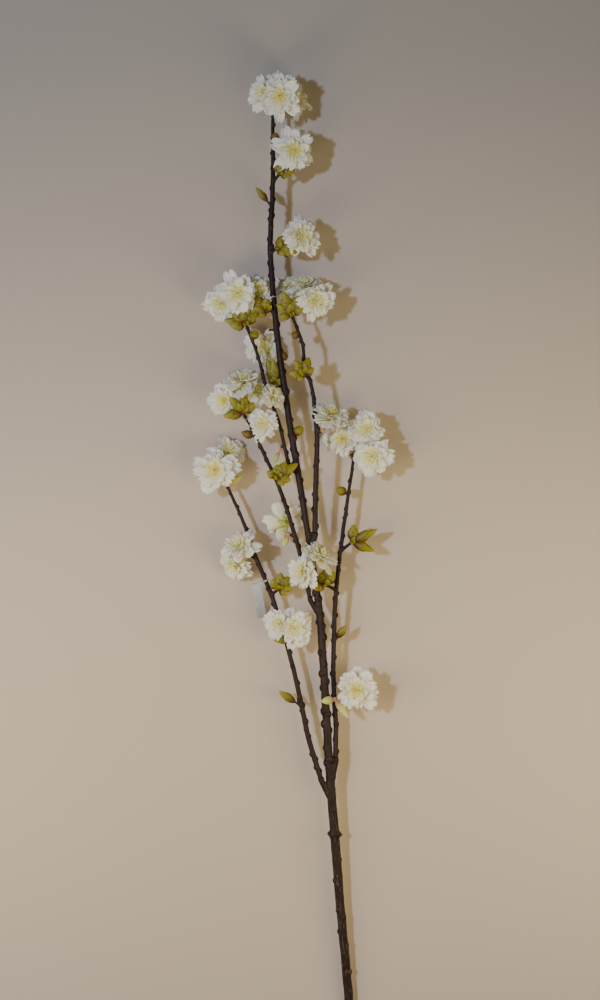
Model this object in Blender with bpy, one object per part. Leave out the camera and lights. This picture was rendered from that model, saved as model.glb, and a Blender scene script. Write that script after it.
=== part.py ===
"""Artificial cherry blossom spray, cut from its bush and laid down on a flat surface.

A wired, plastic-coated main stem carries five side branches, plugged into sockets moulded
on it. Moulded plastic picks sit on short spurs: each is a knuckle with bud scales and, where
it flowers, one stalk and calyx for each double blossom of stacked fabric petals. A blank
film label is looped round one branch.

The plan below is in millimetres: X to the right, Y along the stem from its cut end, Z up from
the surface that the spray lies on. Its open side is up. Only the cut end of its stem touches
that surface, and its lowest blossoms are a few millimetres clear of it.
"""

import math

import bmesh
import bpy
from mathutils import Matrix, Vector

MM = 0.001
GAP = 0.3  # air between two pieces that touch
CENTRE = (-8.1, 501.3)  # middle of the plan, which the finished model has at its origin

STEP_ALONG_STEM = 20  # distance between a stem's rings
PEG_LENGTH = 7  # of a side branch, inside its socket
PEG_SHARE = 0.6  # of the branch's radius
SHOULDER_LENGTH = 6  # of a side branch, straight out of its socket
SOCKET_SHARE = 1.4  # of the branch's radius
SPUR_RADIUS = 1.5
SPUR_FLARE = 1.3  # how much thicker a spur is at the stem
KNUCKLE_RADIUS = 2.6
STALK_RADIUS = 0.8
STALK_BOW = 0.35  # of the stalk's length
CUP_RADIUS = 3.4
CUP_DEPTH = 6
SCALE_WIDTH = 6.8
SCALE_THICKNESS = 3.8
BUD_STALK_RADII = [1.4, 1.2]
BUD_STALK_SHARE = 0.3  # of a bud's reach from the middle of its stem
FRONT_SHARE = 0.62  # height of the petals over a blossom's middle, as a share of its radius
BACK_SHARE = 0.5  # depth of the petals under its middle
LOBES = 5
LOBE_DEPTH = 0.05
WELD = 2e-6  # metres within which points are made one
ROUND_SIDES = 8  # of a stem
THIN_SIDES = 6  # of a spur or a stalk

# A stem's route: x, y, height, radius, from its thick end to its tip.
MAIN_STEM = [
    (54, 0, 4.6, 4.6),
    (49, 80, 9, 4.6),
    (41, 166, 15, 4.6),
    (35, 242, 20, 4.8),
    (31, 290, 24, 4.6),
    (26, 368, 30, 4.1),
    (21, 452, 35, 3.9),
    (16.5, 490, 36.5, 3.5),
    (8.5, 542, 38, 3.1),
    (-0.5, 598, 39.5, 3.3),
    (-12, 668, 40, 3.3),
    (-21, 731, 40, 3.2),
    (-26, 780, 39, 2.9),
    (-29.5, 832, 38, 2.7),
    (-27, 895, 36.5, 2.4),
    (-27, 962, 34, 1.7),
]

# Each side branch starts at the mouth of its socket.
SIDE_BRANCHES = {
    "side_branch_lower_left": [
        (20.5, 302, 25, 2.7),
        (8.8, 340, 26, 2.7),
        (-2, 391, 27, 2.5),
        (-11, 428, 27, 2.4),
        (-26, 477, 27, 2.4),
        (-43, 520, 26, 2.2),
        (-56, 556, 25, 1.9),
        (-72, 592, 24, 1.6),
    ],
    "side_branch_lower_right": [
        (35.8, 322, 25, 2.7),
        (35.9, 354, 24, 2.6),
        (33.5, 400, 25, 2.5),
        (33.8, 440, 27, 2.4),
        (36, 487, 30, 2.3),
        (40.8, 532, 29, 2.1),
        (47, 575, 27.5, 1.9),
        (53.5, 621, 26, 1.6),
    ],
    "side_branch_middle_left": [
        (9.5, 484, 38, 2.3),
        (-1, 530, 41, 2.3),
        (-10.5, 563, 44, 2.2),
        (-20, 591, 46, 2.1),
        (-33, 620, 48, 1.9),
        (-47.5, 651, 50, 1.7),
        (-54, 662, 50.5, 1.6),
    ],
    "side_branch_middle_right": [
        (14.9, 548, 39.5, 2.8),
        (15.6, 598, 46, 2.7),
        (17, 640, 49, 2.5),
        (14.5, 669, 50, 2.2),
        (12, 690, 49.5, 2.0),
        (4.5, 717, 48, 1.8),
        (2.5, 735, 47, 1.7),
        (-7, 760, 46, 1.6),
    ],
    "side_branch_upper_left": [
        (-12.5, 621, 40.5, 1.9),
        (-17, 640, 42, 1.9),
        (-22, 660, 43.5, 1.8),
        (-33, 690, 45, 1.8),
        (-42, 724, 46, 1.7),
        (-52, 750, 46, 1.6),
    ],
}

# How far below each branch's mouth its socket leaves the middle of the main stem.
SOCKET_ROOTS = {
    "side_branch_lower_left": 26,
    "side_branch_lower_right": 30,
    "side_branch_middle_left": 22,
    "side_branch_middle_right": 16,
    "side_branch_upper_left": 18,
}

# Buds moulded on a stem: the stem, how far along, and the tip seen from its middle there.
BUDS = [
    ("main_stem", 937, (4, 8, 6)),
    ("main_stem", 872, (-16, 19, 2)),
    ("main_stem", 749, (-8.5, 0, 1)),
    ("main_stem", 722, (8, 2, 1)),
    ("main_stem", 643, (11, 10, 3)),
    ("side_branch_upper_left", 737, (3, 11, 4)),
    ("side_branch_upper_left", 637, (-10, -21, 4)),
    ("side_branch_middle_right", 741, (-9, 4, 2)),
    ("side_branch_middle_left", 642, (-15, 5, 2)),
    ("side_branch_lower_left", 373, (-23, 16, 3)),
    ("side_branch_lower_right", 585, (-12, 7, 2)),
    ("side_branch_lower_right", 437, (13, 18, 3)),
]

# A pick: its stem, how far along its spur leaves, its knuckle, the tips of its bud scales as
# seen from the knuckle, and its blossoms: middle, radius and the way each one faces.
PICKS = [
    ("main_stem", 962, (-27, 966, 35), [(6, -1, 3), (-6, 3, 4)], [
        ((-20, 980, 51), 20, (0, -0.1, 1)),
        ((-37, 985, 38), 17, (-0.4, 0.1, 0.9)),
        ((-3, 984, 28), 19, (0.6, 0.2, 0.5)),
    ]),
    ("main_stem", 897, (-20, 904, 41), [(-2, 13, 1), (9, -2, 3), (15, 4, 2), (10, 9, 0)], [
        ((-5, 926, 52), 19, (0.2, -0.05, 1)),
    ]),
    ("main_stem", 826, (-22.5, 830, 43),
     [(4, 10, 3), (10, 13, 1), (15, -1, 3), (20, -6, 1), (7, -7, 3)], [
        ((3, 842, 50), 19, (0.35, 0.1, 1)),
    ]),
    ("main_stem", 768, (-32.5, 768, 43), [(-17, 16, 2), (-15, 2, 3), (-2, 12, 4), (-11, -5, 2)], []),
    ("main_stem", 690, (-23, 695, 35), [(-10, 25, 3), (-4, 24, 5), (-3, 13, 3), (-8, 10, 0)], [
        ((-36, 733, 22), 18, (0.3, 0, 0.95)),
    ]),
    ("side_branch_upper_left", 750, (-54, 754, 47.5),
     [(-20, 4, 2), (-14, -2, 4), (-13, 11, 2), (-3, 13, 4), (11, 11, 2)], [
        ((-62, 784, 57), 19, (-0.05, 0, 1)),
        ((-79, 775, 42), 16, (-0.1, -0.15, 1)),
        ((-41, 788, 40), 16, (0.2, 0.3, 0.9)),
    ]),
    ("side_branch_middle_right", 760, (-8.5, 764, 47.5),
     [(-14, 9, 3), (-11, -3, 3), (-8, 21, 4), (7, 17, 5), (11, 6, 3), (-1, 9, 6)], [
        ((17, 777, 51), 19, (0.35, -0.2, 0.9)),
        ((5, 796, 44), 17, (0, 0.75, 0.6)),
        ((-14, 795, 24), 16, (-0.2, 0.6, 0.6)),
    ]),
    ("side_branch_middle_right", 700, (4, 704, 54),
     [(5, 17, 2), (-10, 14, 3), (-15, 1, 2), (-6, -6, 4), (10, 6, 2)], []),
    ("side_branch_upper_left", 674, (-29, 674, 50.5), [(-6, 9, 4)], [
        ((-36.5, 655, 56), 15, (-0.05, 0, 1)),
        ((-25, 683, 56.5), 13, (0.6, 0.25, 0.55)),
    ]),
    ("side_branch_middle_left", 662, (-56, 666, 51.5),
     [(-19, -3, 3), (-13, 15, 3), (-5, 9, 5), (11, 9, 2), (2, 17, 2)], [
        ((-76, 678, 48), 16, (-0.35, -0.1, 0.9)),
        ((-57, 700, 54), 19, (-0.05, 0.8, 0.55)),
        ((-42, 689, 46), 15, (0.35, 0.2, 0.9)),
    ]),
    ("side_branch_middle_left", 602, (-22, 603, 53),
     [(-11, 5, 2), (-3, -1, 7), (-1, 12, 2), (8, 15, 2), (20, 13, 1), (13, -4, 2), (6, -9, 3)], []),
    ("side_branch_middle_right", 646, (22.5, 649, 52), [(0, 14, 1)], [
        ((32, 666, 55), 18, (0.2, 0.8, 0.55)),
    ]),
    ("side_branch_lower_right", 621, (53.5, 624.5, 27), [(-4, -2, 5), (4, 5, 5)], [
        ((66, 651, 46), 18, (-0.05, 0.15, 1)),
        ((42, 641, 31), 17, (-0.3, 0.1, 0.95)),
        ((71, 623, 44), 19, (-0.2, -0.2, 0.95)),
    ]),
    ("side_branch_middle_left", 544, (-12, 546, 41), [(-5, -12, 1), (-9, 3, 2)], [
        ((-19, 559, 25), 18, (-0.3, 0.2, -0.8)),
    ]),
    ("side_branch_lower_left", 592, (-74, 595.5, 25), [(16, 8, 4), (11, 17, 4)], [
        ((-85, 610, 42), 20, (-0.15, 0, 1)),
        ((-71, 630, 20), 17, (0.3, 0.4, 0.8)),
    ]),
    ("side_branch_lower_left", 522, (-51, 524, 28.5), [(-14, -4, 9)], [
        ((-62, 537, 39), 18, (-0.3, 0.5, 0.7)),
        ((-66, 512, 24), 16, (-0.4, -0.5, 0.7)),
    ]),
    ("side_branch_lower_left", 485, (-21, 491, 31),
     [(-8, 10, 2), (2, 17, 2), (11, 13, 2), (14, 1, 3), (8, -5, 4), (0, 4, 8)], []),
    ("side_branch_lower_left", 434, (-11, 443, 37), [(-15, -2, 2), (5, -9, 3)], [
        ((-5.5, 453, 49), 17.5, (0.15, 0, 1)),
        ((-21, 457, 45), 15, (-0.25, 0.05, 0.95)),
    ]),
    ("side_branch_lower_right", 529, (52, 538, 34), [(2, 18, 2), (25, 13, 2), (22, -9, 1)], []),
    ("side_branch_lower_right", 490, (25, 496, 43),
     [(-12, -4, 2), (3, 22, 2), (9, 13, 1), (-5, 12, 3), (4, 5, 7)], []),
    ("main_stem", 503, (12, 509, 46), [(0, 13, 6)], [
        ((0, 510, 55), 18.5, (-0.75, 0.05, 0.65)),
        ((22, 528, 54), 17, (0.55, 0.72, 0.42)),
    ]),
    ("side_branch_lower_right", 378, (35, 381, 33), [(-14, -1, 8), (13, -18, 5)], [
        ((56.5, 391.5, 44), 20, (0.05, 0.1, 1)),
    ]),
]

# The label: where its loop goes round the lower left branch, and where its tail ends.
LABEL_LOOP_AT = 499
LABEL_TAIL = (-33.6, 461, 1.6)
LABEL_WIDTH = 10
LABEL_NECK = 2.4  # the width of the loop
LABEL_THICKNESS = 0.6
LABEL_SLACK = 0.7  # between the branch and the loop round it


def clear_scene():
    for obj in list(bpy.data.objects):
        bpy.data.objects.remove(obj)


def new_collection(name):
    collection = bpy.data.collections.new(name)
    bpy.context.scene.collection.children.link(collection)
    return collection


def material(name, colour, roughness):
    """A plain plastic or cloth: none of the spray is metal."""
    made = bpy.data.materials.new(name)
    made.use_nodes = True
    shader = made.node_tree.nodes["Principled BSDF"]
    shader.inputs["Base Color"].default_value = (*colour, 1)
    shader.inputs["Roughness"].default_value = roughness
    shader.inputs["Metallic"].default_value = 0
    return made


def mesh_object(name, bm):
    """The bmesh, drawn in millimetres, as an object in metres."""
    bmesh.ops.transform(bm, matrix=Matrix.Scale(MM, 4), verts=bm.verts)
    mesh = bpy.data.meshes.new(name)
    bm.to_mesh(mesh)
    bm.free()
    obj = bpy.data.objects.new(name, mesh)
    bpy.context.scene.collection.objects.link(obj)
    return obj


def as_evaluated(obj):
    """The object made a plain welded mesh, with its curve or its modifiers worked out."""
    graph = bpy.context.evaluated_depsgraph_get()
    mesh = bpy.data.meshes.new_from_object(obj.evaluated_get(graph))
    bm = bmesh.new()
    bm.from_mesh(mesh)
    bmesh.ops.remove_doubles(bm, verts=bm.verts, dist=WELD)
    bm.to_mesh(mesh)
    bm.free()
    made = bpy.data.objects.new(obj.name, mesh)
    made.matrix_world = obj.matrix_world
    bpy.context.scene.collection.objects.link(made)
    bpy.data.objects.remove(obj)
    return made


def combined(base, others, operation):
    """The base with the others joined to it, or cut from it."""
    for other in others:
        modifier = base.modifiers.new(operation.title(), "BOOLEAN")
        modifier.operation = operation
        modifier.object = other
    made = as_evaluated(base)
    for other in others:
        bpy.data.objects.remove(other)
    return made


def tube(name, points, radii, sides=ROUND_SIDES):
    """A round bar through the points, each with its own radius."""
    curve = bpy.data.curves.new(name, "CURVE")
    curve.dimensions = "3D"
    curve.bevel_depth = MM
    curve.bevel_resolution = sides // 2 - 2
    curve.use_fill_caps = True
    spline = curve.splines.new("POLY")
    spline.points.add(len(points) - 1)
    for knot, point, radius in zip(spline.points, points, radii):
        knot.co = (*(Vector(point) * MM), 1)
        knot.radius = radius
    obj = bpy.data.objects.new(name, curve)
    bpy.context.scene.collection.objects.link(obj)
    return as_evaluated(obj)


def on_route(route, y):
    """The point and the radius at y on a smooth curve through the route's points."""
    last = len(route) - 2
    i = max(k for k in range(last + 1) if k == 0 or route[k][1] <= y)
    before, start, end, after = (
        Vector(route[max(0, min(k, last + 1))]) for k in (i - 1, i, i + 1, i + 2)
    )
    span = end[1] - start[1]
    t = (y - start[1]) / span
    leave = (end - before) * (span / (end[1] - before[1]))
    arrive = (after - start) * (span / (after[1] - start[1]))
    there = (
        start * (2 * t**3 - 3 * t**2 + 1)
        + leave * (t**3 - 2 * t**2 + t)
        + end * (3 * t**2 - 2 * t**3)
        + arrive * (t**3 - t**2)
    )
    return there.to_3d(), there[3]


def rings(route):
    """The middles and radii of a stem's rings, from its thick end to its tip."""
    first, last = route[0][1], route[-1][1]
    count = math.ceil((last - first) / STEP_ALONG_STEM)
    return zip(*(on_route(route, first + (last - first) * k / count) for k in range(count + 1)))


def stem_tube(name, route, grow=0):
    """A stem along its route. Growing it makes the room that petals leave round it."""
    centres, radii = rings(route)
    return tube(name, centres, [radius + grow for radius in radii])


def branch_axis(route):
    """Where a side branch starts, and its direction there."""
    start = on_route(route, route[0][1])[0]
    return start, (on_route(route, route[0][1] + 1)[0] - start).normalized()


def side_branch(name, route):
    """A side branch, with the peg that plugs into its socket."""
    start, direction = branch_axis(route)
    radius = route[0][3]
    peg = tube(
        name,
        [start - direction * PEG_LENGTH, start + direction * (SHOULDER_LENGTH / 2)],
        [radius * PEG_SHARE] * 2,
    )
    shoulder = [start + direction * GAP, start + direction * SHOULDER_LENGTH]
    centres, radii = rings(route)
    body = tube(name, [*shoulder, *centres[1:]], [radius, radius, *radii[1:]])
    return combined(peg, [body], "UNION")


def sockets(main_route):
    """The collars on the main stem that the side branches plug into, and their bores."""
    collars, bores = [], []
    for name, route in SIDE_BRANCHES.items():
        start, direction = branch_axis(route)
        radius = route[0][3]
        root = on_route(main_route, route[0][1] - SOCKET_ROOTS[name])[0]
        neck = start - direction * (PEG_LENGTH * 0.6)
        wide = radius * SOCKET_SHARE
        collars.append(tube("collar", [root, neck, start], [wide, wide * 1.1, wide * 0.95]))
        bore = radius * PEG_SHARE + GAP
        bottom = start - direction * (PEG_LENGTH + GAP)
        above = start + direction * (SHOULDER_LENGTH - 1)
        bores.append(tube("bore", [bottom, above], [bore] * 2))
    return collars, bores


def bud_scale(name, base, tip, grow=0):
    """A pointed scale from base to tip, thinner than it is wide, with its broad face up."""
    length = (tip - base).length
    bm = bmesh.new()
    bmesh.ops.create_uvsphere(bm, u_segments=THIN_SIDES, v_segments=4, radius=1)
    for vert in bm.verts:
        along = (vert.co.z + 1) / 2
        fullness = 1.15 - 0.35 * along
        vert.co.x *= (SCALE_WIDTH / 2) * fullness + grow
        vert.co.y *= (SCALE_THICKNESS / 2) * fullness + grow
        vert.co.z = (length + 2 * grow) * along - grow
    forward = (tip - base).normalized()
    side = forward.cross(Vector((0, 0, 1)))
    side = side.normalized() if side.length > 0.1 else Vector((1, 0, 0))
    flat = forward.cross(side)
    turn = Matrix((side, flat, forward)).transposed().to_4x4()
    bmesh.ops.transform(bm, matrix=Matrix.Translation(base) @ turn, verts=bm.verts)
    return mesh_object(name, bm)


def stem_bud(route, along, reach):
    """A bud on its short stalk, both moulded with the stem."""
    centre, radius = on_route(route, along)
    reach = Vector(reach)
    start = centre + reach.normalized() * (radius * 0.4)
    stalk = tube("stalk", [start, centre + reach / 2], BUD_STALK_RADII, THIN_SIDES)
    return [stalk, bud_scale("bud", centre + reach * BUD_STALK_SHARE, centre + reach)]


def spur(route, along, knuckle):
    """The short woody spur that a pick is pushed on."""
    root = on_route(route, along)[0]
    knuckle = Vector(knuckle)
    outward = (knuckle - root).normalized()
    end = knuckle - outward * (KNUCKLE_RADIUS + GAP)
    return tube("spur", [root, end], [SPUR_RADIUS * SPUR_FLARE, SPUR_RADIUS], THIN_SIDES)


def knuckle_ball(centre, grow=0):
    bm = bmesh.new()
    bmesh.ops.create_uvsphere(
        bm, u_segments=THIN_SIDES, v_segments=5, radius=KNUCKLE_RADIUS + grow,
        matrix=Matrix.Translation(centre),
    )
    return mesh_object("knuckle", bm)


def stalk_and_cup(knuckle, middle, radius, facing, grow=0):
    """The stalk of one blossom, bowed a little, with the cup that its petals sit in."""
    facing = Vector(facing).normalized()
    mouth = middle - facing * (radius * BACK_SHARE + GAP)
    cup_base = mouth - facing * CUP_DEPTH
    bow = (cup_base - knuckle).length * STALK_BOW
    points = []
    for t in (0, 0.3, 0.6, 0.85):
        straight = knuckle.lerp(cup_base, t)
        points.append(straight - facing * (bow * t * (1 - t)))
    points += [cup_base, mouth - facing * (CUP_DEPTH * 0.5), mouth]
    radii = [STALK_RADIUS] * 4 + [STALK_RADIUS * 1.3, CUP_RADIUS * 0.8, CUP_RADIUS]
    return tube("stalk", points, [r + grow for r in radii], THIN_SIDES)


def pick_shapes(knuckle, tips, blossoms, grow=0):
    """The shapes that one pick is joined from."""
    centre = Vector(knuckle)
    shapes = [knuckle_ball(centre, grow)]
    for tip in tips:
        reach = Vector(tip)
        base = centre + reach.normalized() * (KNUCKLE_RADIUS * 0.3)
        shapes.append(bud_scale("scale", base, centre + reach, grow=grow))
    for middle, radius, facing in blossoms:
        shapes.append(stalk_and_cup(centre, Vector(middle), radius, facing, grow))
    return shapes


def blossom_solid(name, middle, radius, facing, neighbours):
    """The space that one blossom's petals fill: a lobed dome, pressed flat by the next ones."""
    bm = bmesh.new()
    bmesh.ops.create_uvsphere(bm, u_segments=3 * LOBES, v_segments=5, radius=1)
    for vert in bm.verts:
        around = math.atan2(vert.co.y, vert.co.x)
        lobed = radius * (1 + LOBE_DEPTH * math.cos(LOBES * around))
        vert.co.x *= lobed
        vert.co.y *= lobed
        vert.co.z *= radius * (FRONT_SHARE if vert.co.z > 0 else BACK_SHARE)
    turn = Vector(facing).to_track_quat("Z", "Y").to_matrix().to_4x4()
    bmesh.ops.transform(bm, matrix=Matrix.Translation(middle) @ turn, verts=bm.verts)
    for other, other_radius in neighbours:
        away = Vector(other) - Vector(middle)
        if away.length > radius + other_radius + GAP:
            continue
        share = 0.5 + (radius - other_radius) / (2 * away.length)
        wall = Vector(middle) + away * share - away.normalized() * (GAP / 2)
        press(bm, wall, away)
    press(bm, Vector((0, 0, 0)), Vector((0, 0, -1)))
    return mesh_object(name, bm)


def press(bm, wall, outward):
    """Takes off what is beyond a flat wall, and closes the cut."""
    geometry = bm.verts[:] + bm.edges[:] + bm.faces[:]
    bmesh.ops.bisect_plane(bm, geom=geometry, plane_co=wall, plane_no=outward, clear_outer=True)
    rim = [edge for edge in bm.edges if edge.is_boundary]
    if rim:
        bmesh.ops.edgeloop_fill(bm, edges=rim)


def largest_piece(obj):
    """Drops what a cut has left loose beside the main body."""
    bm = bmesh.new()
    bm.from_mesh(obj.data)
    unseen = set(bm.verts)
    pieces = []
    while unseen:
        piece = set()
        edge_of_piece = [unseen.pop()]
        while edge_of_piece:
            vert = edge_of_piece.pop()
            piece.add(vert)
            for edge in vert.link_edges:
                other = edge.other_vert(vert)
                if other in unseen:
                    unseen.remove(other)
                    edge_of_piece.append(other)
        pieces.append(piece)
    pieces.sort(key=len)
    for piece in pieces[:-1]:
        bmesh.ops.delete(bm, geom=list(piece), context="VERTS")
    bm.to_mesh(obj.data)
    bm.free()


def boxes_meet(one, two):
    """Whether the boxes round two objects overlap."""
    low, high = [], []
    for obj in (one, two):
        corners = [obj.matrix_world @ Vector(corner) for corner in obj.bound_box]
        low.append([min(c[k] for c in corners) for k in range(3)])
        high.append([max(c[k] for c in corners) for k in range(3)])
    return all(low[0][k] <= high[1][k] and low[1][k] <= high[0][k] for k in range(3))


def label_solid():
    """The blank label: a narrow loop of film round the branch, and the wide tail that hangs from it."""
    route = SIDE_BRANCHES["side_branch_lower_left"]
    centre, radius = on_route(route, LABEL_LOOP_AT)
    along = (on_route(route, LABEL_LOOP_AT + 1)[0] - centre).normalized()
    ends = [centre - along * LABEL_NECK / 2, centre + along * LABEL_NECK / 2]
    ring = tube("label_ring", ends, [radius + LABEL_SLACK + LABEL_THICKNESS] * 2)
    far_ends = [centre - along * LABEL_WIDTH, centre + along * LABEL_WIDTH]
    hole = tube("label_hole", far_ends, [radius + LABEL_SLACK] * 2)
    ring = combined(ring, [hole], "DIFFERENCE")
    start = centre + Vector((-radius - LABEL_SLACK - LABEL_THICKNESS / 2, 0, 0))
    tail = Vector(LABEL_TAIL) - start
    bm = bmesh.new()
    bmesh.ops.create_cube(bm, size=1)
    bmesh.ops.scale(bm, vec=(LABEL_WIDTH, tail.length, LABEL_THICKNESS), verts=bm.verts)
    bmesh.ops.translate(bm, vec=(0, tail.length / 2, 0), verts=bm.verts)
    turn = tail.to_track_quat("Y", "Z").to_matrix().to_4x4()
    lean = Vector((LABEL_THICKNESS - LABEL_WIDTH / 2, 0, 0))
    bmesh.ops.transform(bm, matrix=Matrix.Translation(start + lean) @ turn, verts=bm.verts)
    return combined(mesh_object("label_strip", bm), [ring], "UNION")


def finish(obj, name, collection, parent, look):
    """Names a finished piece, files it and hangs it on the spray's own frame."""
    bpy.context.scene.collection.objects.unlink(obj)
    collection.objects.link(obj)
    obj.name = name
    obj.data.name = name
    obj.parent = parent
    obj.data.materials.clear()
    obj.data.materials.append(look)
    obj.data.shade_smooth()
    obj.data.set_sharp_from_angle(angle=math.radians(40))


def main():
    clear_scene()
    spray = new_collection("cherry_blossom_spray")
    frame = bpy.data.objects.new("spray_frame", None)
    frame.location = (-CENTRE[0] * MM, -CENTRE[1] * MM, 0)
    spray.objects.link(frame)
    bark = material("coated_stem", (0.022, 0.014, 0.012), 0.6)
    moulded = material("moulded_bud", (0.25, 0.22, 0.03), 0.5)
    petals = material("fabric_petals", (0.87, 0.85, 0.76), 0.9)
    film = material("film_label", (0.6, 0.63, 0.66), 0.45)

    routes = {"main_stem": MAIN_STEM, **SIDE_BRANCHES}
    bars = {name: side_branch(name, route) for name, route in SIDE_BRANCHES.items()}
    bars["main_stem"] = stem_tube("main_stem", MAIN_STEM)
    collars, bores = sockets(MAIN_STEM)
    extras = {name: [] for name in routes}
    extras["main_stem"] += collars
    for name, along, reach in BUDS:
        extras[name] += stem_bud(routes[name], along, reach)
    for name, along, knuckle, _, _ in PICKS:
        extras[name].append(spur(routes[name], along, knuckle))
    for name in routes:
        bars[name] = combined(bars[name], extras[name], "UNION")
    bars["main_stem"] = combined(bars["main_stem"], bores, "DIFFERENCE")

    picks = []
    for _, _, knuckle, tips, blossoms in PICKS:
        base, *others = pick_shapes(knuckle, tips, blossoms)
        picks.append(combined(base, others, "UNION"))
    label = label_solid()

    all_blossoms = [blossom for pick in PICKS for blossom in pick[4]]
    solids = []
    for middle, radius, facing in all_blossoms:
        near = [(other[0], other[1]) for other in all_blossoms if other[0] != middle]
        solids.append(blossom_solid("blossom", middle, radius, facing, near))

    rooms = [stem_tube("room", route, GAP) for route in routes.values()]
    for _, _, knuckle, tips, blossoms in PICKS:
        rooms += pick_shapes(knuckle, tips, blossoms, GAP)
    for name, along, reach in BUDS:
        centre = on_route(routes[name], along)[0]
        tip = centre + Vector(reach)
        rooms.append(bud_scale("room", centre, tip, grow=3 * GAP))
    for i, solid in enumerate(solids):
        cutters = [room.copy() for room in rooms if boxes_meet(room, solid)]
        for cutter in cutters:
            bpy.context.scene.collection.objects.link(cutter)
        solids[i] = combined(solid, cutters, "DIFFERENCE")
        largest_piece(solids[i])
    for room in rooms:
        bpy.data.objects.remove(room)

    for name, bar in bars.items():
        finish(bar, name, spray, frame, bark)
    for number, pick in enumerate(picks, 1):
        finish(pick, f"pick_{number:02}", spray, frame, moulded)
    for number, solid in enumerate(solids, 1):
        finish(solid, f"blossom_{number:02}", spray, frame, petals)
    finish(label, "label_strip", spray, frame, film)


main()
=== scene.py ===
# %% [markdown]
# # An artificial cherry blossom spray, dressed for its picture
#
# The part is a florist's imitation of a cut cherry branch, a metre long: a wired stem coated in dark
# plastic, five side branches, moulded olive buds, and thirty-one double blossoms stacked from die-cut
# cloth petals. The frame holds its plain solids. This lesson builds what the eye sees in their place:
# knotted bark, ridged bud scales, pink stalks with green calyxes, and petals that crowd each other.
#
# Everything is drawn in the plan's millimetres and moved into the frame once, when a piece is filed.

# %% Load the fixed frame
import math
import random

import bmesh
import bpy
from mathutils import Matrix, Quaternion, Vector, kdtree, noise


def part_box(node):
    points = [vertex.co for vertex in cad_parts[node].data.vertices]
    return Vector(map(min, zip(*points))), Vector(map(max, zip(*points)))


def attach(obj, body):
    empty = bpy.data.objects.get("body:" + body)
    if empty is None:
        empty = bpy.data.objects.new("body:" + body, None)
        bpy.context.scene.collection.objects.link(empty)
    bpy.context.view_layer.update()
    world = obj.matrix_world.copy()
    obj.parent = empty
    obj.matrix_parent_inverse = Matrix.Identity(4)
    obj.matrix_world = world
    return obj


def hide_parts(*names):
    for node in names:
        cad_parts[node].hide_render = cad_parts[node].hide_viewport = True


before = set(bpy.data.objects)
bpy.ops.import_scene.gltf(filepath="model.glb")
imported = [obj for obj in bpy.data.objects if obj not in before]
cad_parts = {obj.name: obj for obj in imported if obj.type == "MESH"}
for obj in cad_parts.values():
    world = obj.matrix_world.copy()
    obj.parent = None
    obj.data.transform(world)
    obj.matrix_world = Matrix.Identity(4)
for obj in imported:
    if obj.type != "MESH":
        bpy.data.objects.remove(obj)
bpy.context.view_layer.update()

# %% [markdown]
# ## The plan
#
# The frame's solids are finished shapes. They don't say along which curve a stem was drawn, nor which way
# a blossom faces, so the plan that the part was built from is written again here, as a cord's route would
# be: x to the right, y along the stem from its cut end, z up from the table, in millimetres.
# One offset takes the plan into the frame, and the next cell tests it on the solids.

# %% The stems' routes: x, y, height, radius
MM = 0.001
PLAN_CENTRE = Vector((-8.1, 501.3, 0))

ROUTES = {
    "main_stem": [
        (54, 0, 4.6, 4.6), (49, 80, 9, 4.6), (41, 166, 15, 4.6), (35, 242, 20, 4.8), (31, 290, 24, 4.6),
        (26, 368, 30, 4.1), (21, 452, 35, 3.9), (16.5, 490, 36.5, 3.5), (8.5, 542, 38, 3.1),
        (-0.5, 598, 39.5, 3.3), (-12, 668, 40, 3.3), (-21, 731, 40, 3.2), (-26, 780, 39, 2.9),
        (-29.5, 832, 38, 2.7), (-27, 895, 36.5, 2.4), (-27, 962, 34, 1.7),
    ],
    "side_branch_lower_left": [
        (20.5, 302, 25, 2.7), (8.8, 340, 26, 2.7), (-2, 391, 27, 2.5), (-11, 428, 27, 2.4),
        (-26, 477, 27, 2.4), (-43, 520, 26, 2.2), (-56, 556, 25, 1.9), (-72, 592, 24, 1.6),
    ],
    "side_branch_lower_right": [
        (35.8, 322, 25, 2.7), (35.9, 354, 24, 2.6), (33.5, 400, 25, 2.5), (33.8, 440, 27, 2.4),
        (36, 487, 30, 2.3), (40.8, 532, 29, 2.1), (47, 575, 27.5, 1.9), (53.5, 621, 26, 1.6),
    ],
    "side_branch_middle_left": [
        (9.5, 484, 38, 2.3), (-1, 530, 41, 2.3), (-10.5, 563, 44, 2.2), (-20, 591, 46, 2.1),
        (-33, 620, 48, 1.9), (-47.5, 651, 50, 1.7), (-54, 662, 50.5, 1.6),
    ],
    "side_branch_middle_right": [
        (14.9, 548, 39.5, 2.8), (15.6, 598, 46, 2.7), (17, 640, 49, 2.5), (14.5, 669, 50, 2.2),
        (12, 690, 49.5, 2.0), (4.5, 717, 48, 1.8), (2.5, 735, 47, 1.7), (-7, 760, 46, 1.6),
    ],
    "side_branch_upper_left": [
        (-12.5, 621, 40.5, 1.9), (-17, 640, 42, 1.9), (-22, 660, 43.5, 1.8), (-33, 690, 45, 1.8),
        (-42, 724, 46, 1.7), (-52, 750, 46, 1.6),
    ],
}

# How far below its mouth a branch's socket leaves the middle of the main stem.
SOCKET_ROOTS = {
    "side_branch_lower_left": 26,
    "side_branch_lower_right": 30,
    "side_branch_middle_left": 22,
    "side_branch_middle_right": 16,
    "side_branch_upper_left": 18,
}

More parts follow.
